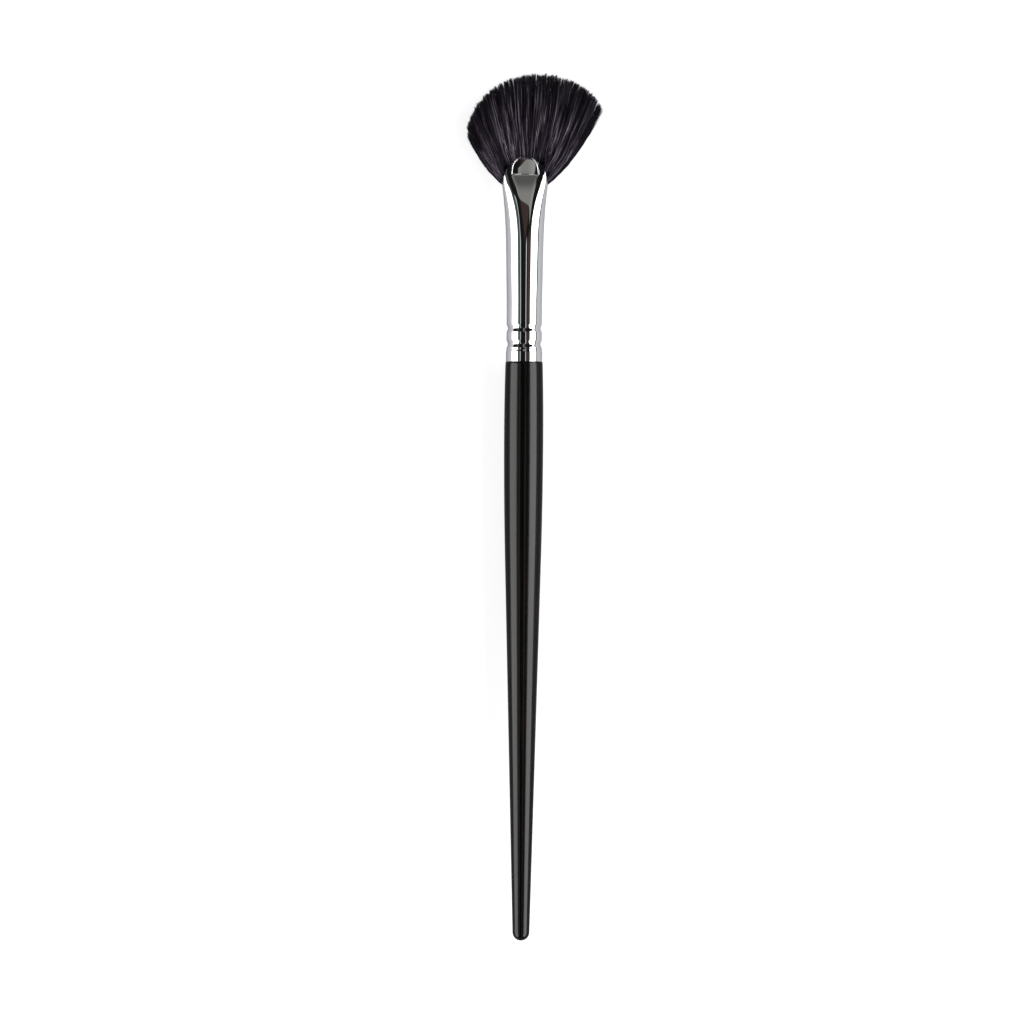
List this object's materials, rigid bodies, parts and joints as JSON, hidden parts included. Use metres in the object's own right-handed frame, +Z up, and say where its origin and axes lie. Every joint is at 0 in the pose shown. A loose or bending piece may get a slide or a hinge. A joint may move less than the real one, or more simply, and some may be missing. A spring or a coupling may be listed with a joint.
{
  "type": "fan makeup brush",
  "caption": "Fan makeup brush: slender turned handle, crimped plated ferrule with a pressed flat mouth, and a splayed, angled tuft of dark hair.",
  "frame": {"origin": "middle of the brush's outline seen from above, on the surface that the brush lies on", "axes": "+Y along the brush, from the handle's tail to the hair's tips; +Z up from the surface; +X to the right of the fan, its longer side, seen from above with the hair away from the viewer"},
  "size_m": [0.031, 0.2, 0.0091],
  "materials": {
    "lacquered_wood": "satin black lacquer over hardwood, fine grain showing",
    "plated_metal": "mirror polished nickel plate over thin brass tube",
    "dark_hair": "soft dark purple-black hair with a faint sheen",
    "set_glue": "clear amber set glue"
  },
  "bodies": {
    "root": {"handle": "lacquered_wood", "ferrule": "plated_metal", "hair_tuft": "dark_hair", "glue_plug": "set_glue"}
  },
  "joints": []
}
